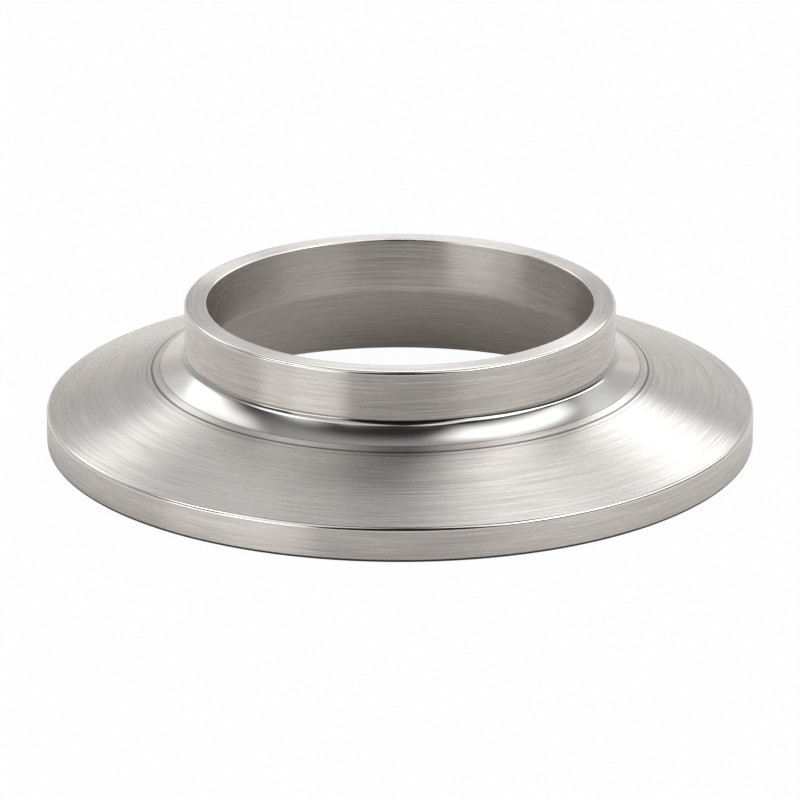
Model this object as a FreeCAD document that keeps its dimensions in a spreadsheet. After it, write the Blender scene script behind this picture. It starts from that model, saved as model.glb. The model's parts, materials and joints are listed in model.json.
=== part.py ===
"""Sanitary clamp ferrule, short weld type, turned from one piece of stainless steel.

A thin flange with a 20 degree clamp cone carries a short weld neck. The bore is straight through
the neck and flares out below it to the wider mouth of the gasket face, as on a reducing ferrule.
The clamp cone runs into the root of the neck through a shallow cove, and the gasket face has a
round-bottomed groove for the gasket's bead. With the sizes below the flange is 64 mm across, the
neck 38.9 mm and the mouth 47.9 mm.

Frame: millimetres, origin at the centre of the gasket face, +Z along the axis towards the weld
neck. The ferrule stands on its gasket face.
"""
import FreeCAD, Part
import math
import os

import Sketcher

# Driving dimensions: millimetres, and degrees for the angle. Radial widths follow each other
# outwards from the bore, so that each can change by itself.
SIZES = {
    "bore_diameter": 34.9,
    "neck_wall": 2.0,
    "mouth_flare": 6.5,
    "inner_land": 2.0,
    "groove_width": 4.4,
    "outer_land": 1.65,
    "overall_height": 12.9,
    "mouth_depth": 8.0,
    "rim_height": 3.1,
    "clamp_angle": 20.0,
    "cove_width": 3.0,
    "cove_radius": 13.0,
    "groove_depth": 1.6,
    "root_radius": 0.4,
    "throat_radius": 1.5,
    "neck_edge_break": 0.25,
    "bore_edge_break": 0.1,
    "rim_edge_break": 0.2,
    "face_edge_break": 0.25,
    "mouth_edge_break": 0.15,
    "groove_edge_break": 0.15,
}

# The radii of the section, as the spreadsheet works them out from the widths.
BORE = "sizes.bore_diameter / 2"
NECK = f"{BORE} + sizes.neck_wall"
MOUTH = f"{BORE} + sizes.mouth_flare"
GROOVE_IN = f"{MOUTH} + sizes.inner_land"
GROOVE = f"{GROOVE_IN} + sizes.groove_width / 2"
FLANGE = f"{GROOVE_IN} + sizes.groove_width + sizes.outer_land"
GROOVE_ARC = "(sizes.groove_width ^ 2 / 4 + sizes.groove_depth ^ 2) / (2 * sizes.groove_depth)"
BEVEL = "sizes.groove_edge_break"

# The sketcher's numbers for the points of an edge, and for the sketch's own axis and origin.
START, END, CENTRE = 1, 2, 3
HORIZONTAL_AXIS = -1
ORIGIN = (HORIZONTAL_AXIS, START)

# How near a circular edge has to lie to a ring's radius and height to be that ring.
RING_TOLERANCE = 1e-4


class Section:
    """Radii, heights and corners of the turned section, worked out from the driving dimensions."""

    def __init__(self, size):
        self.bore = size["bore_diameter"] / 2
        self.neck = self.bore + size["neck_wall"]
        self.mouth = self.bore + size["mouth_flare"]
        self.groove_in = self.mouth + size["inner_land"]
        self.groove = self.groove_in + size["groove_width"] / 2
        self.groove_out = self.groove_in + size["groove_width"]
        self.flange = self.groove_out + size["outer_land"]
        self.groove_arc = (size["groove_width"] ** 2 / 4 + size["groove_depth"] ** 2) / (
            2 * size["groove_depth"]
        )
        self.groove_drop = self.groove_arc - size["groove_depth"]
        self.bevel = size["groove_edge_break"]
        self.top = size["overall_height"]
        self.rim = size["rim_height"]
        self.throat = size["mouth_depth"]
        self.slope = math.radians(size["clamp_angle"])
        self.cove_radius = size["cove_radius"]
        self.cove = self.neck + size["cove_width"]
        self.cove_height = self.rim + (self.flange - self.cove) * math.tan(self.slope)
        self.centre = self.cove + self.cove_radius * math.sin(self.slope)
        self.centre_height = self.cove_height + self.cove_radius * math.cos(self.slope)
        reach = self.centre - self.neck
        self.root_height = self.centre_height - math.sqrt(self.cove_radius**2 - reach**2)


def make_sheet(document):
    """Put the driving dimensions in a spreadsheet, one alias to a row."""
    sheet = document.addObject("Spreadsheet::Sheet", "sizes")
    for row, (alias, value) in enumerate(SIZES.items(), start=1):
        sheet.set(f"A{row}", alias.replace("_", " "))
        sheet.set(f"B{row}", str(value))
        sheet.setAlias(f"B{row}", alias)
    document.recompute()
    return sheet


def add_sketch(body, name, plane_role):
    """Start a sketch on one of the body's own origin planes."""
    plane = next(item for item in body.Origin.OriginFeatures if item.Role == plane_role)
    sketch = body.newObject("Sketcher::SketchObject", name)
    sketch.AttachmentSupport = [(plane, "")]
    sketch.MapMode = "FlatFace"
    return sketch


def add_line(sketch, start, end):
    """Add a straight edge between two (radius, height) points."""
    return sketch.addGeometry(Part.LineSegment(FreeCAD.Vector(*start, 0), FreeCAD.Vector(*end, 0)))


def add_circle(sketch, centre, radius):
    """Add a circle around a (radius, height) point."""
    return sketch.addGeometry(Part.Circle(FreeCAD.Vector(*centre, 0), FreeCAD.Vector(0, 0, 1), radius))


def constrain(sketch, kind, *points):
    """Add a geometric constraint."""
    sketch.addConstraint(Sketcher.Constraint(kind, *points))


def bind(sketch, name, expression, kind, *points):
    """Add a dimension and tie it to the spreadsheet."""
    index = sketch.addConstraint(Sketcher.Constraint(kind, *points))
    sketch.renameConstraint(index, name)
    sketch.setExpression(f"Constraints.{name}", expression)


def draw_blank(body, at):
    """Half section of the blank: gasket face, rim, clamp cone, cove, neck and weld end."""
    sketch = add_sketch(body, "blank_section", "XZ_Plane")
    face = add_line(sketch, (0, 0), (at.flange, 0))
    rim = add_line(sketch, (at.flange, 0), (at.flange, at.rim))
    cone = add_line(sketch, (at.flange, at.rim), (at.cove, at.cove_height))
    circle = Part.Circle()
    circle.Center = FreeCAD.Vector(at.centre, at.centre_height, 0)
    circle.Radius = at.cove_radius
    cove_start = math.atan2(at.root_height - at.centre_height, at.neck - at.centre)
    cove_end = math.atan2(at.cove_height - at.centre_height, at.cove - at.centre)
    cove = sketch.addGeometry(Part.ArcOfCircle(circle, cove_start, cove_end))
    neck = add_line(sketch, (at.neck, at.root_height), (at.neck, at.top))
    weld_end = add_line(sketch, (at.neck, at.top), (0, at.top))
    axis = add_line(sketch, (0, at.top), (0, 0))

    constrain(sketch, "Coincident", face, START, *ORIGIN)
    constrain(sketch, "Coincident", face, END, rim, START)
    constrain(sketch, "Coincident", rim, END, cone, START)
    constrain(sketch, "Tangent", cone, END, cove, END)
    constrain(sketch, "Coincident", cove, START, neck, START)
    constrain(sketch, "Coincident", neck, END, weld_end, START)
    constrain(sketch, "Coincident", weld_end, END, axis, START)
    constrain(sketch, "Coincident", axis, END, *ORIGIN)
    for level in (face, weld_end):
        constrain(sketch, "Horizontal", level)
    for upright in (rim, neck, axis):
        constrain(sketch, "Vertical", upright)

    bind(sketch, "flange", FLANGE, "DistanceX", face, START, face, END, at.flange)
    bind(sketch, "rim", "sizes.rim_height", "DistanceY", rim, START, rim, END, at.rim)
    bind(sketch, "clamp", "180 - sizes.clamp_angle", "Angle", cone, math.pi - at.slope)
    cove_width = at.cove - at.neck
    bind(sketch, "cove_width", "sizes.cove_width", "DistanceX", cove, START, cove, END, cove_width)
    bind(sketch, "cove_radius", "sizes.cove_radius", "Radius", cove, at.cove_radius)
    bind(sketch, "neck", NECK, "DistanceX", weld_end, END, weld_end, START, at.neck)
    bind(sketch, "height", "sizes.overall_height", "DistanceY", axis, END, axis, START, at.top)
    return sketch


def draw_bore(body, at):
    """Circle of the straight bore, on the gasket face's plane."""
    sketch = add_sketch(body, "bore_section", "XY_Plane")
    bore = add_circle(sketch, (0, 0), at.bore)
    constrain(sketch, "Coincident", bore, CENTRE, *ORIGIN)
    bind(sketch, "bore", "sizes.bore_diameter", "Diameter", bore, 2 * at.bore)
    return sketch


def draw_mouth(body, at):
    """Half section of the flared mouth, from the gasket face up to the throat of the bore."""
    sketch = add_sketch(body, "mouth_section", "XZ_Plane")
    face = add_line(sketch, (0, 0), (at.mouth, 0))
    flare = add_line(sketch, (at.mouth, 0), (at.bore, at.throat))
    throat = add_line(sketch, (at.bore, at.throat), (0, at.throat))
    axis = add_line(sketch, (0, at.throat), (0, 0))

    constrain(sketch, "Coincident", face, START, *ORIGIN)
    constrain(sketch, "Coincident", face, END, flare, START)
    constrain(sketch, "Coincident", flare, END, throat, START)
    constrain(sketch, "Coincident", throat, END, axis, START)
    constrain(sketch, "Coincident", axis, END, *ORIGIN)
    constrain(sketch, "Horizontal", face)
    constrain(sketch, "Horizontal", throat)
    constrain(sketch, "Vertical", axis)

    bind(sketch, "mouth", MOUTH, "DistanceX", face, START, face, END, at.mouth)
    bind(sketch, "throat", BORE, "DistanceX", throat, END, throat, START, at.bore)
    bind(sketch, "depth", "sizes.mouth_depth", "DistanceY", axis, END, axis, START, at.throat)
    return sketch


def draw_groove(body, at):
    """Circle that cuts the gasket groove, its centre a little below the gasket face."""
    sketch = add_sketch(body, "groove_section", "XZ_Plane")
    bead = add_circle(sketch, (at.groove, -at.groove_drop), at.groove_arc)
    drop = f"{GROOVE_ARC} - sizes.groove_depth"
    bind(sketch, "arc", GROOVE_ARC, "Radius", bead, at.groove_arc)
    bind(sketch, "pitch", GROOVE, "DistanceX", *ORIGIN, bead, CENTRE, at.groove)
    bind(sketch, "drop", drop, "DistanceY", bead, CENTRE, *ORIGIN, at.groove_drop)
    return sketch


def draw_groove_bevels(body, at):
    """Section that bevels both edges of the gasket groove at 45 degrees."""
    sketch = add_sketch(body, "groove_bevel_section", "XZ_Plane")
    low, high, bevel = at.groove_in - at.bevel, at.groove_out + at.bevel, 2 * at.bevel
    face = add_line(sketch, (low, 0), (high, 0))
    outer = add_line(sketch, (high, 0), (high - bevel, bevel))
    inside = add_line(sketch, (high - bevel, bevel), (low + bevel, bevel))
    inner = add_line(sketch, (low + bevel, bevel), (low, 0))

    constrain(sketch, "Coincident", face, END, outer, START)
    constrain(sketch, "Coincident", outer, END, inside, START)
    constrain(sketch, "Coincident", inside, END, inner, START)
    constrain(sketch, "Coincident", inner, END, face, START)
    constrain(sketch, "PointOnObject", face, START, HORIZONTAL_AXIS)
    constrain(sketch, "Horizontal", face)
    constrain(sketch, "Horizontal", inside)
    constrain(sketch, "Equal", outer, inner)
    constrain(sketch, "Perpendicular", outer, inner)

    bind(sketch, "start", f"{GROOVE_IN} - {BEVEL}", "DistanceX", *ORIGIN, face, START, low)
    width = f"sizes.groove_width + 2 * {BEVEL}"
    bind(sketch, "width", width, "DistanceX", face, START, face, END, high - low)
    bind(sketch, "depth", f"2 * {BEVEL}", "DistanceY", inner, END, inner, START, bevel)
    return sketch


def turn(body, kind, name, sketch):
    """Add or cut a full turn of a section about the ferrule's axis."""
    feature = body.newObject(f"PartDesign::{kind}", name)
    feature.Profile = sketch
    feature.ReferenceAxis = (sketch, ["V_Axis"])
    feature.Angle = 360
    return feature


def bore_through(body, sketch):
    """Bore the blank straight through, from the gasket face upwards."""
    bore = body.newObject("PartDesign::Pocket", "bore")
    bore.Profile = sketch
    bore.Type = "ThroughAll"
    bore.Reversed = True
    return bore


def ring_edge(shape, radius, height):
    """Name of the circular edge at a radius and a height."""
    for number, edge in enumerate(shape.Edges, start=1):
        curve = edge.Curve
        if not isinstance(curve, Part.Circle):
            continue
        radius_gap = abs(curve.Radius - radius)
        height_gap = abs(curve.Center.z - height)
        if max(radius_gap, height_gap) < RING_TOLERANCE:
            return f"Edge{number}"
    raise RuntimeError(f"no ring of radius {radius} at height {height}")


def dress_edges(body, base, kind, name, rings, alias):
    """Round or bevel the circular edges of a feature at the given (radius, height) places."""
    feature = body.newObject(f"PartDesign::{kind}", name)
    feature.Base = (base, [ring_edge(base.Shape, *ring) for ring in rings])
    feature.setExpression("Radius" if kind == "Fillet" else "Size", f"sizes.{alias}")
    return feature


def make_ferrule(document, at):
    """Turn the blank, bore it, flare its mouth, groove its face and round its edges."""
    body = document.addObject("PartDesign::Body", "ferrule")
    body.Label = "ferrule"
    body.Placement = FreeCAD.Placement()

    blank = turn(body, "Revolution", "blank", draw_blank(body, at))
    document.recompute()
    volumes = [blank.Shape.Volume]
    cuts = (
        lambda: bore_through(body, draw_bore(body, at)),
        lambda: turn(body, "Groove", "flared_mouth", draw_mouth(body, at)),
        lambda: turn(body, "Groove", "gasket_groove", draw_groove(body, at)),
        lambda: turn(body, "Groove", "groove_bevels", draw_groove_bevels(body, at)),
    )
    for cut in cuts:
        feature = cut()
        document.recompute()
        volumes.append(feature.Shape.Volume)
        if not volumes[-1] < volumes[-2]:
            raise RuntimeError(f"{feature.Name} cut nothing")

    edges = (
        ("Fillet", "neck_root", [(at.neck, at.root_height)], "root_radius"),
        ("Fillet", "throat_blend", [(at.bore, at.throat)], "throat_radius"),
        ("Chamfer", "weld_end_outer_edge", [(at.neck, at.top)], "neck_edge_break"),
        ("Chamfer", "weld_end_inner_edge", [(at.bore, at.top)], "bore_edge_break"),
        ("Chamfer", "rim_upper_edge", [(at.flange, at.rim)], "rim_edge_break"),
        ("Chamfer", "rim_lower_edge", [(at.flange, 0)], "face_edge_break"),
        ("Chamfer", "mouth_edge", [(at.mouth, 0)], "mouth_edge_break"),
    )
    for kind, name, rings, alias in edges:
        feature = dress_edges(body, feature, kind, name, rings, alias)
        document.recompute()
    body.Tip = feature
    document.recompute()
    return body


def check_document(document, parts):
    """Stop if any feature failed or any sub-part isn't one valid solid."""
    for item in document.Objects:
        if "Invalid" in item.State or "Error" in item.State:
            raise RuntimeError(f"{item.Name} failed: {item.State}")
    for part in parts:
        shape = part.Shape
        if shape.isNull() or not shape.isValid() or len(shape.Solids) != 1:
            raise RuntimeError(f"{part.Label} is not one valid solid")


def main():
    """Build the document, check it and write one STEP file for each sub-part."""
    os.makedirs("parts", exist_ok=True)
    document = FreeCAD.newDocument("sanitary_clamp_ferrule")
    make_sheet(document)
    parts = [make_ferrule(document, Section(SIZES))]
    check_document(document, parts)
    for part in parts:
        part.Shape.exportStep(f"parts/{part.Label}.step")
        box = part.Shape.optimalBoundingBox(False)
        lengths = f"{box.XLength:.2f} x {box.YLength:.2f} x {box.ZLength:.2f} mm"
        print(f"{part.Label}: {lengths}, {part.Shape.Volume / 1000:.3f} cm3")


main()
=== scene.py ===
"""Sanitary clamp ferrule: its turned steel, and the studio that shows it.

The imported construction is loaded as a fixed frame, in metres. The ferrule stands on its gasket
face at the origin, with its axis along +Z. One piece, the turned body, stands for the frame's
node. Its section takes the bore, neck, flange and height from the frame, with every edge rounded.
A Geometry Nodes tree sweeps it round the axis and parts the brushed faces from the polished cove
and edges.
"""

from __future__ import annotations

import json
import logging
import math
from dataclasses import dataclass, field
from enum import Enum

import bpy
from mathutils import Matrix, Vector


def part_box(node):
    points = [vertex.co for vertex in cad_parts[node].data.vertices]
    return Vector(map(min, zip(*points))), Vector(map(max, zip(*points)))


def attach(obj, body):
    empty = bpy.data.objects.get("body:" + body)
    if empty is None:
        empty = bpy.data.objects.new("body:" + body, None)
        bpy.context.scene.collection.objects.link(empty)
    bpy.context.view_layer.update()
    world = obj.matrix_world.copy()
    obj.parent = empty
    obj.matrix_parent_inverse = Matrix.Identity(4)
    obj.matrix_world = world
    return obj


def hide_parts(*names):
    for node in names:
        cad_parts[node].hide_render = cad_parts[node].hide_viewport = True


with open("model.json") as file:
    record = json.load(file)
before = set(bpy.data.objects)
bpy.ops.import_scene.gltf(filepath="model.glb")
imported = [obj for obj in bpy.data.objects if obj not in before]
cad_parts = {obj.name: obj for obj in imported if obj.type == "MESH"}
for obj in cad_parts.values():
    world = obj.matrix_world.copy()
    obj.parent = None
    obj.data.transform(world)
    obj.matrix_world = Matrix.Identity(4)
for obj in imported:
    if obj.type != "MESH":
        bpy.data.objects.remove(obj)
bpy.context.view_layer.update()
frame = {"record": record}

LOG = logging.getLogger("ferrule")

MM = 0.001
BODY = "root"
NODE = "ferrule"
WHITE = (1.0, 1.0, 1.0, 1.0)

Colour = tuple[float, float, float]
Point = tuple[float, float]
Tree = bpy.types.NodeTree
Socket = bpy.types.NodeSocket


class Graph:
    """A node tree that is being wired, for a material, a world or a modifier."""

    def __init__(self, tree: Tree) -> None:
        """Start from an empty tree.

        Args:
            tree: The tree to fill.
        """
        self.tree = tree
        tree.nodes.clear()

    def add(
        self, kind: str, sockets: dict[str | int, object] | None = None, **settings: object
    ) -> bpy.types.Node:
        """Add a node, set its properties and fill or wire its inputs.

        Args:
            kind: The node's type name.
            sockets: Input name or number to a value, or to the output that feeds it.
            **settings: Properties of the node itself.

        Returns:
            The new node.
        """
        node = self.tree.nodes.new(kind)
        for name, value in settings.items():
            setattr(node, name, value)
        for name, value in (sockets or {}).items():
            if isinstance(value, Socket):
                self.tree.links.new(value, node.inputs[name])
            else:
                node.inputs[name].default_value = value
        return node

    def math(self, operation: str, *values: object) -> Socket:
        """Work out a number.

        Args:
            operation: The Math node's operation.
            *values: Numbers or outputs, in the order of the node's inputs.

        Returns:
            The result.
        """
        return self.add("ShaderNodeMath", dict(enumerate(values)), operation=operation).outputs[0]

    def fade(self, value: Socket, none: float, full: float) -> Socket:
        """Fade smoothly from 0 to 1.

        Args:
            value: What the fade follows.
            none: The value at which it is 0.
            full: The value at which it is 1.

        Returns:
            The fade.
        """
        sockets = {"Value": value, "From Min": none, "From Max": full}
        kind = "ShaderNodeMapRange"
        return self.add(kind, sockets, interpolation_type="SMOOTHSTEP").outputs[0]

    def radius(self, place: bpy.types.Node) -> Socket:
        """Work out the distance from the axis.

        Args:
            place: A place, parted into X, Y and Z.

        Returns:
            The distance.
        """
        square = self.math("MULTIPLY", place.outputs["Y"], place.outputs["Y"])
        x = place.outputs["X"]
        return self.math("SQRT", self.math("MULTIPLY_ADD", x, x, square))


class SweepInput(Enum):
    """Named inputs of the tree that sweeps the section round the axis."""

    STEPS = "Steps Round"
    BORE = "Bore Radius"
    ROOT = "Polish From Radius"
    COVE = "Polish To Radius"
    BRUSHED = "Brushed Steel"
    POLISHED = "Polished Steel"


class Mark(Enum):
    """Marks that a point of the section carries into the finish."""

    WORN = "worn_edge"
    # Painted shade: a dark line in the tint that stands in for shade
    PAINTED_SHADE = "painted_shade_line"


@dataclass(frozen=True)
class Streaks:
    """Lines that the work leaves round the axis, all of one size."""

    width: float
    length: float
    detail: float = 2.0

    def draw(self, graph: Graph, across: Socket, place: bpy.types.Node) -> Socket:
        """Draw the lines.

        Args:
            graph: The material's tree.
            across: Distance across the lines, on every face.
            place: The place on the piece, parted into X, Y and Z.

        Returns:
            A value about 0.5, which changes slowly round the axis and fast across it.
        """
        course = graph.add(
            "ShaderNodeCombineXYZ",
            {
                "X": graph.math("DIVIDE", place.outputs["X"], self.length),
                "Y": graph.math("DIVIDE", place.outputs["Y"], self.length),
                "Z": graph.math("DIVIDE", across, self.width),
            },
        )
        sockets = {"Vector": course.outputs[0], "Scale": 1.0, "Detail": self.detail}
        return graph.add("ShaderNodeTexNoise", sockets).outputs["Fac"]


@dataclass(frozen=True)
class SteelFinish:
    """Bare stainless steel, worked round the axis.

    The work leaves fine lines round the axis, and broader passes under them, so light spreads
    along the section and stays sharp round it. Marked lines get painted shade, a darkening of
    the tint that stands in for shade. A shade is the most by which the lines or passes lighten
    or darken the tint, and a roughness is the whole of its swing.
    """

    name: str
    tint: Colour
    roughness: float
    spread: float
    lines: Streaks = Streaks(0.10 * MM, 5.0 * MM)
    passes: Streaks = Streaks(0.32 * MM, 16.0 * MM, detail=1.0)
    line_depth: float = 0.0016 * MM
    line_shade: float = 0.34
    pass_shade: float = 0.12
    line_roughness: float = 0.08
    pass_roughness: float = 0.06
    # How far painted shade darkens the tint where a point is fully marked
    painted_shade_strength: float = 0.9
    spread_turn: float = 0.25

    def material(self) -> bpy.types.Material:
        """Make the finish.

        Returns:
            The material.
        """
        material = bpy.data.materials.new(self.name)
        material.use_nodes = True
        graph = Graph(material.node_tree)
        where = graph.add("ShaderNodeTexCoord").outputs["Object"]
        place = graph.add("ShaderNodeSeparateXYZ", {0: where})
        across = graph.math("SUBTRACT", graph.radius(place), place.outputs["Z"])
        lines = self.lines.draw(graph, across, place)
        passes = self.passes.draw(graph, across, place)
        # Painted shade: the marked lines darken the tint to stand in for shade
        cut = graph.add("ShaderNodeAttribute", attribute_name=Mark.PAINTED_SHADE.value).outputs["Fac"]
        plain = 1.0 + self.line_shade + self.pass_shade
        shade = graph.math("MULTIPLY_ADD", lines, -2.0 * self.line_shade, plain)
        shade = graph.math("MULTIPLY_ADD", passes, -2.0 * self.pass_shade, shade)
        painted_shade_factor = graph.math("MULTIPLY_ADD", cut, -self.painted_shade_strength, 1.0)
        shade = graph.math("MULTIPLY", shade, painted_shade_factor)
        colour = graph.add(
            "ShaderNodeVectorMath", {0: self.tint, "Scale": shade}, operation="SCALE"
        )
        roughness = graph.math("MULTIPLY_ADD", lines, self.line_roughness, self.roughness)
        roughness = graph.math("MULTIPLY_ADD", passes, self.pass_roughness, roughness)
        half = (self.line_roughness + self.pass_roughness) / 2
        roughness = graph.math("SUBTRACT", roughness, half)
        bump = graph.add(
            "ShaderNodeBump", {"Strength": 1.0, "Distance": self.line_depth, "Height": lines}
        )
        around = graph.add("ShaderNodeTangent", direction_type="RADIAL", axis="Z")
        steel = graph.add(
            "ShaderNodeBsdfPrincipled",
            {
                "Base Color": colour.outputs[0],
                "Metallic": 1.0,
                "Roughness": roughness,
                "Normal": bump.outputs[0],
                "Anisotropic": self.spread,
                "Anisotropic Rotation": self.spread_turn,
                "Tangent": around.outputs[0],
            },
        )
        graph.add("ShaderNodeOutputMaterial", {"Surface": steel.outputs[0]})
        return material


@dataclass(frozen=True)
class Corner:
    """A corner of the section, rounded where it has a rounding.

    Worn and painted shade run from 0 to 1: how far the edge is polished, and how much painted
    shade darkens it.
    """

    radius: float
    height: float
    rounding: float = 0.0
    worn: float = 0.0
    cut: float = 0.0


@dataclass
class Section:
    """Half section of the ferrule, in metres and radians.

    The first four fields come from the frame, and the rest are the ferrule's own. The fields
    that end in cut say how much painted shade darkens a line, from 0 to 1: in the
    grooves round the land, at the cove's foot, in the crease at the neck and along the bottom
    edge. root_shade_reach is the part of the root's rounding over which that shade fades. The
    line_gap between the land's groove and the cone's counts widths of a painted shade line, and
    foot_hem is the share of the land over which the foot's shade fades. A flat has a point one
    hem from either end, unless it is shorter than least_hems hems.
    """

    bore: float
    neck: float
    flange: float
    height: float
    mouth: float = 23.95 * MM
    mouth_depth: float = 8.0 * MM
    groove: float = 28.15 * MM
    groove_width: float = 4.4 * MM
    groove_depth: float = 1.6 * MM
    rim: float = 3.1 * MM
    clamp_angle: float = math.radians(20)
    land: float = 0.72 * MM
    land_angle: float = math.radians(21)
    cove_width: float = 2.28 * MM
    cove_angle: float = math.radians(25)
    cove_radius: float = 13.0 * MM
    root_rounding: float = 0.7 * MM
    throat_rounding: float = 1.5 * MM
    neck_edge: float = 0.3 * MM
    bore_edge: float = 0.15 * MM
    rim_edge: float = 0.38 * MM
    face_edge: float = 0.25 * MM
    mouth_edge: float = 0.15 * MM
    groove_edge: float = 0.2 * MM
    # Half-width of each groove round the land, over which its painted shade fades
    painted_shade_line: float = 0.15 * MM
    tool_depth: float = 0.025 * MM
    line_gap: float = 3.0
    # Painted shade, 0 to 1: darkening of the tint in the grooves, at the cove's foot, in the
    # crease at the neck and along the bottom edge
    cone_painted_shade: float = 0.3
    land_painted_shade: float = 1.0
    foot_painted_shade: float = 0.6
    root_painted_shade: float = 0.6
    root_shade_reach: float = 0.6
    face_painted_shade: float = 1.0
    foot_hem: float = 0.1
    arc_step: float = math.radians(6)
    cove_step: float = math.radians(0.5)
    hem: float = 0.04 * MM
    least_hems: float = 10.0

    @classmethod
    def from_frame(cls, record: dict) -> Section:
        """Take the sizes that the frame holds.

        Args:
            record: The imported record.

        Returns:
            The section.
        """
        radii = {m["name"]: m["dims"].get("r_mm", 0.0) * MM for m in record["mounts"]}
        return cls(
            bore=radii["neck_bore"],
            neck=radii["neck_outside"],
            flange=radii["rim_outside"],
            height=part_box(NODE)[1].z,
        )

    @property
    def land_radius(self) -> float:
        """Radius at which the land round the cove meets the clamp cone."""
        return self.neck + self.cove_width + self.land

    @property
    def land_height(self) -> float:
        """Height at which the land round the cove meets the clamp cone."""
        return self.rim + (self.flange - self.land_radius) * math.tan(self.clamp_angle)

    @property
    def cove_foot(self) -> Point:
        """Radius and height at which the cove meets the land."""
        rise = self.land * math.tan(self.land_angle)
        return self.neck + self.cove_width, self.land_height + rise

    def cove_arcs(self) -> list[Point]:
        """Trace the cove from the land up to the neck, with its tighter root.

        Returns:
            Points of the arc and of the root's own small arc.
        """
        lean = Vector((math.sin(self.cove_angle), math.cos(self.cove_angle)))
        centre = Vector(self.cove_foot) + self.cove_radius * lean
        root_radius = self.neck + self.root_rounding
        reach = self.cove_radius - self.root_rounding
        drop = math.sqrt(reach**2 - (centre.x - root_radius) ** 2)
        root = (root_radius, centre.y - drop)
        start = -math.pi / 2 - self.cove_angle
        end = math.atan2(-drop, root_radius - centre.x)
        cove = trace_arc(tuple(centre), self.cove_radius, start, end, self.cove_step)
        return cove + trace_arc(root, self.root_rounding, end, -math.pi, self.arc_step)[1:]

    def grooves_with_painted_shade(self) -> list[Corner]:
        """Cut the fine groove that parts the cone from the land, and a fainter one outside it,
        with painted shade along both.

        Returns:
            Points on the clamp cone and the land, going inwards to the cove.
        """
        marks = []
        gap = self.line_gap * self.painted_shade_line
        # Each shallow groove is deepest, and its painted shade darkest, at its middle point
        for offset, depth in ((gap, self.cone_painted_shade), (0.0, self.land_painted_shade)):
            for step, cut in ((1, 0.0), (0, depth), (-1, 0.0)):
                away = offset + step * self.painted_shade_line
                height = self.land_height - away * math.tan(self.clamp_angle)
                deep = height - self.tool_depth * cut
                marks.append(Corner(self.land_radius + away, deep, cut=cut))
        foot = self.cove_foot
        near = blend(foot, (marks[-1].radius, marks[-1].height), self.foot_hem)
        # The cove's foot gets painted shade too, fading over foot_hem of the land
        return [*marks, Corner(*near), Corner(*foot, cut=self.foot_painted_shade)]

    def cove(self) -> list[Corner]:
        """List the cove's points above its foot, with painted shade in the crease where it meets
        the neck.

        Returns:
            Points whose painted shade is darkest at the neck, and fades out a share of the root's
            rounding away.
        """
        # Painted shade in the crease at the neck's foot
        reach = self.root_shade_reach * self.root_rounding
        points = self.cove_arcs()[1:]
        fades = (max(0.0, 1.0 - (point[0] - self.neck) / reach) for point in points)
        return [Corner(*point, cut=self.root_painted_shade * fade) for point, fade in zip(points, fades)]

    def groove_arc(self) -> list[Point]:
        """Trace the round-bottomed gasket groove, short of its two edges.

        Returns:
            Points of the arc, from the inner edge to the outer.
        """
        half = self.groove_width / 2
        radius = (half**2 + self.groove_depth**2) / (2 * self.groove_depth)
        centre = (self.groove, self.groove_depth - radius)
        trim = self.groove_edge / radius
        swing = math.asin(half / radius) - trim
        up = math.pi / 2
        return trace_arc(centre, radius, up + swing, up - swing, self.arc_step)

    def corners(self) -> list[Corner]:
        """List the section's corners and arcs, outwards along the gasket face and up.

        Returns:
            The corners in order, with the arcs as corners that have no rounding.
        """
        half = self.groove_width / 2
        return [
            Corner(self.mouth, 0.0, self.mouth_edge),
            Corner(self.groove - half, 0.0, self.groove_edge),
            *(Corner(*point) for point in self.groove_arc()),
            Corner(self.groove + half, 0.0, self.groove_edge),
            # Painted shade along the bottom edge, where the ferrule meets the floor
            Corner(self.flange, 0.0, self.face_edge, cut=self.face_painted_shade),
            Corner(self.flange, self.rim, self.rim_edge),
            *self.grooves_with_painted_shade(),
            *self.cove(),
            Corner(self.neck, self.height, self.neck_edge),
            Corner(self.bore, self.height, self.bore_edge),
            Corner(self.bore, self.mouth_depth, self.throat_rounding),
        ]

    def outline(self) -> list[Corner]:
        """Round the corners, and hem each flat with a point close to either end.

        Returns:
            The points, none of which has a rounding left. Every edge is worn, and the throat,
            whose rounding is larger than the rim's, is not.
        """
        corners = self.corners()
        rounded: list[Corner] = []
        for index, corner in enumerate(corners):
            if corner.rounding:
                before, after = corners[index - 1], corners[(index + 1) % len(corners)]
                worn = float(corner.rounding <= self.rim_edge)
                arc = round_corner(before, corner, after, self.arc_step)
                rounded += [Corner(*point, worn=worn, cut=corner.cut) for point in arc]
            else:
                rounded.append(corner)
        hemmed = []
        for index, here in enumerate(rounded):
            there = rounded[(index + 1) % len(rounded)]
            hemmed.append(here)
            start, end = (here.radius, here.height), (there.radius, there.height)
            length = math.dist(start, end)
            if length > self.least_hems * self.hem:
                for share in (self.hem / length, 1 - self.hem / length):
                    hemmed.append(Corner(*blend(start, end, share)))
        return hemmed


def blend(start: Point, end: Point, share: float) -> Point:
    """Find the point a share of the way from start to end."""
    return tuple(a + (b - a) * share for a, b in zip(start, end))


def trace_arc(centre: Point, radius: float, start: float, end: float, step: float) -> list[Point]:
    """Trace an arc.

    Args:
        centre: Centre of the arc.
        radius: Radius of the arc.
        start: Angle of the first point, in radians.
        end: Angle of the last point.
        step: Largest angle between points.

    Returns:
        The points, both ends among them.
    """
    count = max(2, math.ceil(abs(end - start) / step))
    angles = (start + (end - start) * index / count for index in range(count + 1))
    return [(centre[0] + radius * math.cos(a), centre[1] + radius * math.sin(a)) for a in angles]


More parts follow.
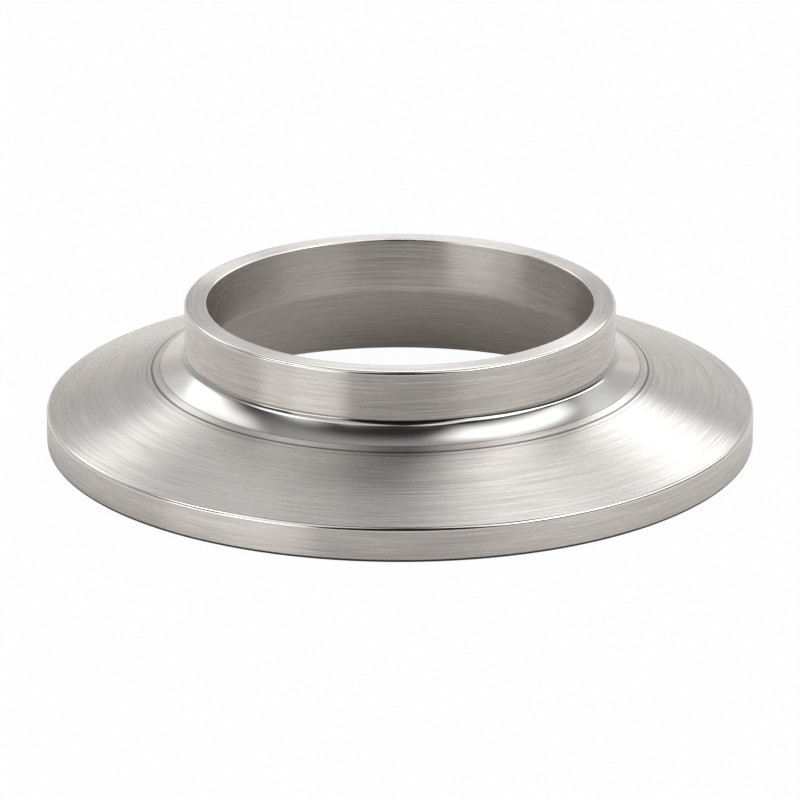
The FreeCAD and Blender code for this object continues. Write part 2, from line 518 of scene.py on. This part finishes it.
def round_corner(before: Corner, corner: Corner, after: Corner, step: float) -> list[Point]:
    """Round a corner between two straight flats.

    Args:
        before: The corner before it.
        corner: The corner to round, with its rounding.
        after: The corner after it.
        step: Largest angle between points.

    Returns:
        The arc's points.
    """
    tip = Vector((corner.radius, corner.height))
    back = (Vector((before.radius, before.height)) - tip).normalized()
    ahead = (Vector((after.radius, after.height)) - tip).normalized()
    opening = back.angle(ahead)
    middle = tip + (back + ahead).normalized() * corner.rounding / math.sin(opening / 2)
    reach = corner.rounding / math.tan(opening / 2)
    first, last = tip + back * reach - middle, tip + ahead * reach - middle
    start = math.atan2(first.y, first.x)
    turn = (math.atan2(last.y, last.x) - start + math.pi) % (2 * math.pi) - math.pi
    return trace_arc(tuple(middle), corner.rounding, start, start + turn, step)


@dataclass
class TurnedBody:
    """The ferrule itself: one piece of steel, swept from its section.

    A face is polished where its points are worn more than worn_least.
    """

    section: Section
    brushed: SteelFinish
    polished: SteelFinish
    steps: int = 512
    worn_least: float = 0.75
    name: str = "turned_ferrule"

    def draw_section(self) -> bpy.types.Object:
        """Draw the section as a closed wire, measured from the wall of the bore.

        Returns:
            The wire, with the marks on its points.
        """
        outline = self.section.outline()
        points = [(point.radius - self.section.bore, -point.height, 0.0) for point in outline]
        edges = [(index, (index + 1) % len(points)) for index in range(len(points))]
        mesh = bpy.data.meshes.new(self.name + "_section")
        mesh.from_pydata(points, edges, [])
        marks = {
            Mark.WORN: [point.worn for point in outline],
            Mark.PAINTED_SHADE: [point.cut for point in outline],
        }
        for mark, values in marks.items():
            attribute = mesh.attributes.new(mark.value, "FLOAT", "POINT")
            attribute.data.foreach_set("value", values)
        wire = bpy.data.objects.new(self.name + "_section", mesh)
        bpy.context.scene.collection.objects.link(wire)
        return wire

    def declare_sockets(self, tree: bpy.types.GeometryNodeTree) -> None:
        """Give the tree its output, and an input for each name in SweepInput.

        Args:
            tree: The tree to fill.
        """
        add = tree.interface.new_socket
        add("Geometry", in_out="OUTPUT", socket_type="NodeSocketGeometry")
        add("Section", in_out="INPUT", socket_type="NodeSocketGeometry")
        add(SweepInput.STEPS.value, in_out="INPUT", socket_type="NodeSocketInt")
        for size in (SweepInput.BORE, SweepInput.ROOT, SweepInput.COVE):
            add(size.value, in_out="INPUT", socket_type="NodeSocketFloat")
        for finish in (SweepInput.BRUSHED, SweepInput.POLISHED):
            add(finish.value, in_out="INPUT", socket_type="NodeSocketMaterial")

    def find_polished(self, graph: Graph, given: bpy.types.NodeOutputs) -> Socket:
        """Find the faces to polish: the cove, and the worn edges.

        Args:
            graph: The sweep's tree.
            given: The tree's inputs.

        Returns:
            1 on the faces to polish.
        """
        place, facing = (
            graph.add("ShaderNodeSeparateXYZ", {0: graph.add(kind).outputs[0]})
            for kind in ("GeometryNodeInputPosition", "GeometryNodeInputNormal")
        )
        radius = graph.radius(place)
        root = graph.math("GREATER_THAN", radius, given[SweepInput.ROOT.value])
        cove = graph.math("LESS_THAN", radius, given[SweepInput.COVE.value])
        upward = graph.math("GREATER_THAN", facing.outputs["Z"], 0.0)
        cove = graph.math("MULTIPLY", graph.math("MULTIPLY", root, cove), upward)
        mark = graph.add("GeometryNodeInputNamedAttribute", {"Name": Mark.WORN.value})
        worn = graph.math("GREATER_THAN", mark.outputs["Attribute"], self.worn_least)
        return graph.math("MAXIMUM", cove, worn)

    def sweep_tree(self) -> bpy.types.GeometryNodeTree:
        """Build the tree that sweeps a section round the axis and parts its finishes.

        Returns:
            The tree, with an input for each name in SweepInput.
        """
        tree = bpy.data.node_groups.new("sweep round axis", "GeometryNodeTree")
        self.declare_sockets(tree)
        graph = Graph(tree)
        given = graph.add("NodeGroupInput").outputs
        wire = graph.add("GeometryNodeMeshToCurve", {"Mesh": given["Section"]})
        path = graph.add(
            "GeometryNodeCurvePrimitiveCircle",
            {"Resolution": given[SweepInput.STEPS.value], "Radius": given[SweepInput.BORE.value]},
        )
        sweep = graph.add(
            "GeometryNodeCurveToMesh",
            {"Curve": path.outputs["Curve"], "Profile Curve": wire.outputs["Curve"]},
        )
        outward = graph.add("GeometryNodeFlipFaces", {"Mesh": sweep.outputs["Mesh"]})
        smooth = graph.add("GeometryNodeSetShadeSmooth", {"Geometry": outward.outputs["Mesh"]})
        brushed = graph.add(
            "GeometryNodeSetMaterial",
            {"Geometry": smooth.outputs[0], "Material": given[SweepInput.BRUSHED.value]},
        )
        polished = graph.add(
            "GeometryNodeSetMaterial",
            {
                "Geometry": brushed.outputs[0],
                "Selection": self.find_polished(graph, given),
                "Material": given[SweepInput.POLISHED.value],
            },
        )
        real = graph.add("GeometryNodeRealizeInstances", {0: polished.outputs[0]})
        graph.add("NodeGroupOutput", {0: real.outputs[0]})
        return tree

    def build(self) -> bpy.types.Object:
        """Sweep the section, turn the result into a plain mesh and dress it.

        Returns:
            The finished piece, riding its body in place of the frame's node.
        """
        wire = self.draw_section()
        tree = self.sweep_tree()
        values = {
            SweepInput.STEPS: self.steps,
            SweepInput.BORE: self.section.bore,
            SweepInput.ROOT: self.section.neck,
            SweepInput.COVE: self.section.cove_foot[0],
            SweepInput.BRUSHED: self.brushed.material(),
            SweepInput.POLISHED: self.polished.material(),
        }
        modifier = wire.modifiers.new("sweep", "NODES")
        modifier.node_group = tree
        for item in tree.interface.items_tree:
            if item.in_out == "INPUT" and item.name in {name.value for name in SweepInput}:
                modifier[item.identifier] = values[SweepInput(item.name)]
        depsgraph = bpy.context.evaluated_depsgraph_get()
        mesh = bpy.data.meshes.new_from_object(wire.evaluated_get(depsgraph))
        bpy.data.objects.remove(wire)
        mesh.name = self.name
        body = bpy.data.objects.new(self.name, mesh)
        bpy.context.scene.collection.objects.link(body)
        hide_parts(NODE)
        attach(body, BODY)
        return body


@dataclass(frozen=True)
class Softbox:
    """A rectangle of light that faces the ferrule.

    Azimuth and elevation are the angles in degrees between which it lies, as the ferrule sees
    them. Azimuth runs from behind the ferrule round by its right. A brightness of 1 is white.
    The edges fade out over the feather's share of the width and of the height.
    """

    name: str
    azimuth: tuple[float, float]
    elevation: tuple[float, float]
    brightness: float
    feather: tuple[float, float]
    tint: Colour = (0.97, 1.0, 1.03)
    distance: float = 2.0

    def place(self) -> bpy.types.Object:
        """Hang the light.

        Returns:
            The light's object.
        """
        azimuth = math.radians(sum(self.azimuth) / 2)
        elevation = math.radians(sum(self.elevation) / 2)
        wide = math.radians(self.azimuth[1] - self.azimuth[0]) * math.cos(elevation)
        tall = math.radians(self.elevation[1] - self.elevation[0])
        light = bpy.data.lights.new(self.name, "AREA")
        light.shape = "RECTANGLE"
        light.size = 2 * self.distance * math.tan(wide / 2)
        light.size_y = 2 * self.distance * math.tan(tall / 2)
        light.energy = self.brightness * math.pi * light.size * light.size_y
        light.color = self.tint
        self.feather_edges(light)
        lamp = bpy.data.objects.new(self.name, light)
        towards = Vector(
            (
                math.sin(azimuth) * math.cos(elevation),
                math.cos(azimuth) * math.cos(elevation),
                math.sin(elevation),
            )
        )
        lamp.location = towards * self.distance
        lamp.rotation_mode = "QUATERNION"
        lamp.rotation_quaternion = towards.to_track_quat("Z", "Y")
        bpy.context.scene.collection.objects.link(lamp)
        return lamp

    def feather_edges(self, light: bpy.types.AreaLight) -> None:
        """Fade the light out towards its edges.

        Args:
            light: The light to fade.
        """
        light.use_nodes = True
        graph = Graph(light.node_tree)
        square = graph.add("ShaderNodeTexCoord").outputs["UV"]
        place = graph.add("ShaderNodeSeparateXYZ", {0: square})
        strength = 1.0
        for axis, feather in zip("XY", self.feather):
            off_middle = graph.math("ABSOLUTE", graph.math("SUBTRACT", place.outputs[axis], 0.5))
            strength = graph.math("MULTIPLY", strength, graph.fade(off_middle, 0.5, 0.5 - feather))
        glow = graph.add("ShaderNodeEmission", {"Color": WHITE, "Strength": strength})
        graph.add("ShaderNodeOutputLight", {"Surface": glow.outputs[0]})


@dataclass(frozen=True)
class Floor:
    """Plain pale floor, which shows white to the camera and keeps the ferrule's shadow.

    The metal mirrors the floor's lit colour, with a share of white added.
    """

    size: float = 12.0
    colour: Colour = (0.90, 0.878, 0.85)
    seen_white: float = 0.97
    mirrored_white: float = 0.05

    def build(self) -> bpy.types.Object:
        """Lay the floor level with the gasket face.

        Returns:
            The floor.
        """
        half = self.size / 2
        mesh = bpy.data.meshes.new("floor")
        mesh.from_pydata(
            [(-half, -half, 0), (half, -half, 0), (half, half, 0), (-half, half, 0)],
            [],
            [(0, 1, 2, 3)],
        )
        floor = bpy.data.objects.new("floor", mesh)
        floor.data.materials.append(self.material())
        bpy.context.scene.collection.objects.link(floor)
        return floor

    def material(self) -> bpy.types.Material:
        """Make the floor's finish, a mix of its own colour and white.

        Returns:
            The material.
        """
        material = bpy.data.materials.new("white floor")
        material.use_nodes = True
        graph = Graph(material.node_tree)
        path = graph.add("ShaderNodeLightPath").outputs
        mirrored = graph.math("MAXIMUM", path["Is Glossy Ray"], path["Is Transmission Ray"])
        share = graph.math(
            "ADD",
            graph.math("MULTIPLY", path["Is Camera Ray"], self.seen_white),
            graph.math("MULTIPLY", mirrored, self.mirrored_white),
        )
        plain = graph.add("ShaderNodeBsdfDiffuse", {"Color": (*self.colour, 1.0)})
        white = graph.add("ShaderNodeEmission", {"Color": WHITE, "Strength": 1.0})
        mix = graph.add(
            "ShaderNodeMixShader", {0: share, 1: plain.outputs[0], 2: white.outputs[0]}
        )
        graph.add("ShaderNodeOutputMaterial", {"Surface": mix.outputs[0]})
        return material


@dataclass(frozen=True)
class Viewpoint:
    """The camera's place, looking down the slope at the ferrule's axis.

    A program solved for the distance, the elevation and the aim height.
    """

    distance: float = 0.54405
    elevation: float = math.radians(19.7934)
    aim_height: float = 3.35 * MM
    lens: float = 270.0
    nearest: float = 0.01
    farthest: float = 20.0

    def place(self) -> bpy.types.Object:
        """Set the scene's camera.

        Returns:
            The camera.
        """
        camera = bpy.data.objects.new("camera", bpy.data.cameras.new("camera"))
        camera.data.lens = self.lens
        camera.data.clip_start, camera.data.clip_end = self.nearest, self.farthest
        camera.location = (
            0.0,
            -self.distance * math.cos(self.elevation),
            self.aim_height + self.distance * math.sin(self.elevation),
        )
        camera.rotation_euler = (math.pi / 2 - self.elevation, 0.0, 0.0)
        bpy.context.scene.collection.objects.link(camera)
        bpy.context.scene.camera = camera
        return camera


@dataclass(frozen=True)
class Room:
    """A dim, warm room with a pale horizon, unlit overhead and behind the camera.

    The walls and the horizon fade between two heights each, as parts of the way out along a
    sight line. Towards the camera both fade between two cosines of the azimuth. The horizon's
    strength was fitted together with the softboxes.
    """

    unlit: float = 0.02
    dim: float = 0.02
    horizon: float = 0.74
    wall_fade: tuple[float, float] = (0.87, 0.99)
    horizon_fade: tuple[float, float] = (0.07, 0.34)
    dark: tuple[float, float] = (-0.95, -0.2)
    tint: Colour = (1.03, 1.0, 0.97)

    def build(self) -> bpy.types.World:
        """Make the room.

        Returns:
            The world.
        """
        world = bpy.data.worlds.new("room")
        world.use_nodes = True
        graph = Graph(world.node_tree)
        sight = graph.add("ShaderNodeTexCoord").outputs["Object"]
        way = graph.add("ShaderNodeSeparateXYZ", {0: sight})
        walls = graph.fade(way.outputs["Z"], *reversed(self.wall_fade))
        horizon = graph.fade(way.outputs["Z"], *reversed(self.horizon_fade))
        away = graph.math("DIVIDE", way.outputs["Y"], graph.radius(way))
        away = graph.fade(away, *self.dark)
        strength = graph.math("MULTIPLY", walls, self.dim)
        strength = graph.math("MULTIPLY_ADD", horizon, self.horizon, strength)
        strength = graph.math("MULTIPLY_ADD", strength, away, self.unlit)
        sockets = {"Color": (*self.tint, 1.0), "Strength": strength}
        room = graph.add("ShaderNodeBackground", sockets)
        graph.add("ShaderNodeOutputWorld", {"Surface": room.outputs[0]})
        return world


@dataclass
class Studio:
    """Floor, softboxes, room and camera.

    The softboxes' angles, brightness and feathers weren't chosen by hand. A fitting program made
    them, and they were then rounded. Only the front right one's lower edge and the right one's
    brightness were set afterwards.
    """

    floor: Floor = field(default_factory=Floor)
    viewpoint: Viewpoint = field(default_factory=Viewpoint)
    room: Room = field(default_factory=Room)
    softboxes: tuple[Softbox, ...] = (
        Softbox("front left", (-156, -112), (0, 85), 0.88, (0.13, 0.13)),
        Softbox("left", (-118, -66), (28, 76), 2.58, (0.31, 0.49)),
        Softbox("right band", (30, 156), (31, 43), 4.59, (0.18, 0.36)),
        Softbox("low front left", (-156, -100), (0, 16), 2.59, (0.13, 0.37)),
        Softbox("behind", (4, 28), (24, 41), 3.30, (0.49, 0.19)),
        Softbox("behind left", (-101, 14), (7, 51), 0.79, (0.46, 0.38)),
        Softbox("high behind", (-7, 36), (49, 63), 2.12, (0.49, 0.12)),
        Softbox("upright behind left", (-53, -28), (20, 57), 1.07, (0.49, 0.23)),
        Softbox("front right", (132, 156), (22, 87), 1.32, (0.13, 0.24)),
        Softbox("wide behind", (-68, 28), (25, 42), 0.50, (0.4, 0.5)),
        Softbox("centre behind", (-14, 10), (29, 52), 2.83, (0.48, 0.33)),
        Softbox("right", (72, 151), (34, 59), 3.45, (0.5, 0.28)),
        Softbox("high right", (30, 67), (40, 81), 1.34, (0.38, 0.25)),
        Softbox("behind right", (-9, 56), (7, 47), 0.54, (0.14, 0.22)),
        Softbox("overhead behind", (-57, 72), (26, 84), 0.36, (0.31, 0.24)),
    )

    def build(self) -> None:
        """Set the room, the floor, the lights and the camera."""
        scene = bpy.context.scene
        scene.view_settings.view_transform = "Standard"
        scene.world = self.room.build()
        self.floor.build()
        for softbox in self.softboxes:
            softbox.place()
        self.viewpoint.place()


def main() -> None:
    """Build the ferrule, then the studio round it."""
    logging.basicConfig(level=logging.INFO, format="%(name)s: %(message)s")
    body = TurnedBody(
        Section.from_frame(frame["record"]),
        brushed=SteelFinish(
            "brushed steel", tint=(0.655, 0.612, 0.573), roughness=0.28, spread=1.0
        ),
        polished=SteelFinish(
            "polished steel",
            tint=(0.74, 0.70, 0.66),
            roughness=0.12,
            spread=0.3,
            line_depth=0.00005 * MM,
            line_shade=0.01,
            pass_shade=0.01,
            line_roughness=0.01,
            pass_roughness=0.03,
        ),
    ).build()
    LOG.info("%s: %d faces", body.name, len(body.data.polygons))
    studio = Studio()
    studio.build()
    LOG.info("studio: %d softboxes", len(studio.softboxes))


if __name__ == "__main__":
    main()
